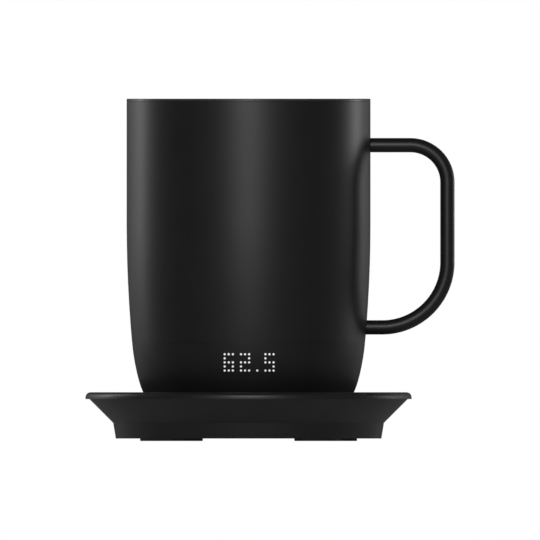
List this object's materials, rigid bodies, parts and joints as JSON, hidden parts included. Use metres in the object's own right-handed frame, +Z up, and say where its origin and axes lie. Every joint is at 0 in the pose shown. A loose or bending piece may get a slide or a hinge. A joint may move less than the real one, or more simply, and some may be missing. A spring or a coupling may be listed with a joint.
{
  "type": "self heating mug with charging coaster",
  "caption": "Black double-walled heated mug with a round-bar handle, a dot-matrix temperature display in its base and a flared charging coaster under it.",
  "frame": {"origin": "middle of the footprint, on the table, under the four rubber feet", "axes": "+X towards the handle, -Y out of the display, +Z up along the mug's axis"},
  "size_m": [0.1286, 0.1138, 0.1193],
  "materials": {
    "shell_black": "satin powder coat",
    "handle_black": "satin powder coat",
    "cup_coating": "satin lining",
    "base_black": "satin",
    "cover_black": "matte",
    "chassis_grey": "matte",
    "coaster_black": "matte",
    "rubber_black": "matte",
    "light_pipe": "clear, lit from behind",
    "led_white": "gloss",
    "contact_gold": "gilded",
    "bright_steel": "plain",
    "nickel": "plain",
    "cell_wrap": "shrink wrap over a drawn can",
    "board_green": "solder mask",
    "chip_black": "matte",
    "heater_film": "gloss film",
    "felt_grey": "felt",
    "sensor_bead": "gloss",
    "wire_red": "soft"
  },
  "bodies": {
    "coaster": {"coaster_tray": "coaster_black", "coaster_base": "cover_black", "rubber_feet": "rubber_black", "coaster_screws": "bright_steel", "coaster_board": "board_green", "coaster_board_parts": "chip_black", "socket_shell": "bright_steel", "socket_tongue": "chip_black", "pin_barrels": "contact_gold", "centre_pin_spring": "bright_steel", "ring_pin_spring": "bright_steel"},
    "mug": {"outer_shell": "shell_black", "handle": "handle_black", "inner_cup": "cup_coating", "base_shell": "base_black", "base_cover": "cover_black", "chassis": "chassis_grey", "foot_ring": "rubber_black", "cover_seal": "rubber_black", "seam_gasket": "rubber_black", "light_guide": "light_pipe", "display_leds": "led_white", "contact_disc": "contact_gold", "contact_ring": "contact_gold", "handle_saddles": "bright_steel", "handle_screws": "bright_steel", "base_screws": "bright_steel", "base_cover_screws": "bright_steel", "main_board_screws": "bright_steel", "fixing_ring": "bright_steel", "battery_strips": "nickel", "battery_cell_1": "cell_wrap", "battery_cell_2": "cell_wrap", "battery_cell_3": "cell_wrap", "main_board": "board_green", "display_board": "board_green", "main_board_chips": "chip_black", "button_switch": "chip_black", "heater_disc": "heater_film", "heater_band": "heater_film", "display_ribbon": "heater_film", "insulation_sleeve": "felt_grey", "insulation_disc": "felt_grey", "temperature_sensor": "sensor_bead", "heater_leads": "wire_red"},
    "power_button": {"power_button": "rubber_black"},
    "centre_pin": {"centre_pin_plunger": "contact_gold"},
    "ring_pin": {"ring_pin_plunger": "contact_gold"}
  },
  "joints": [
    {"name": "mug_lift", "type": "slide", "parent": "coaster", "child": "mug", "axis": [0, 0, 1], "range_m": [0, 0.03]},
    {"name": "button_press", "type": "slide", "parent": "mug", "child": "power_button", "axis": [0, 0, 1], "range_m": [0, 0.0003], "stiffness_N_per_m": 800, "springref_m": -0.0012},
    {"name": "centre_pin_press", "type": "slide", "parent": "coaster", "child": "centre_pin", "axis": [0, 0, 1], "range_m": [-0.0009, 0], "stiffness_N_per_m": 300, "springref_m": 0.001, "deforming": ["centre_pin_spring"]},
    {"name": "ring_pin_press", "type": "slide", "parent": "coaster", "child": "ring_pin", "axis": [0, 0, 1], "range_m": [-0.0009, 0], "stiffness_N_per_m": 300, "springref_m": 0.001, "deforming": ["ring_pin_spring"]}
  ]
}
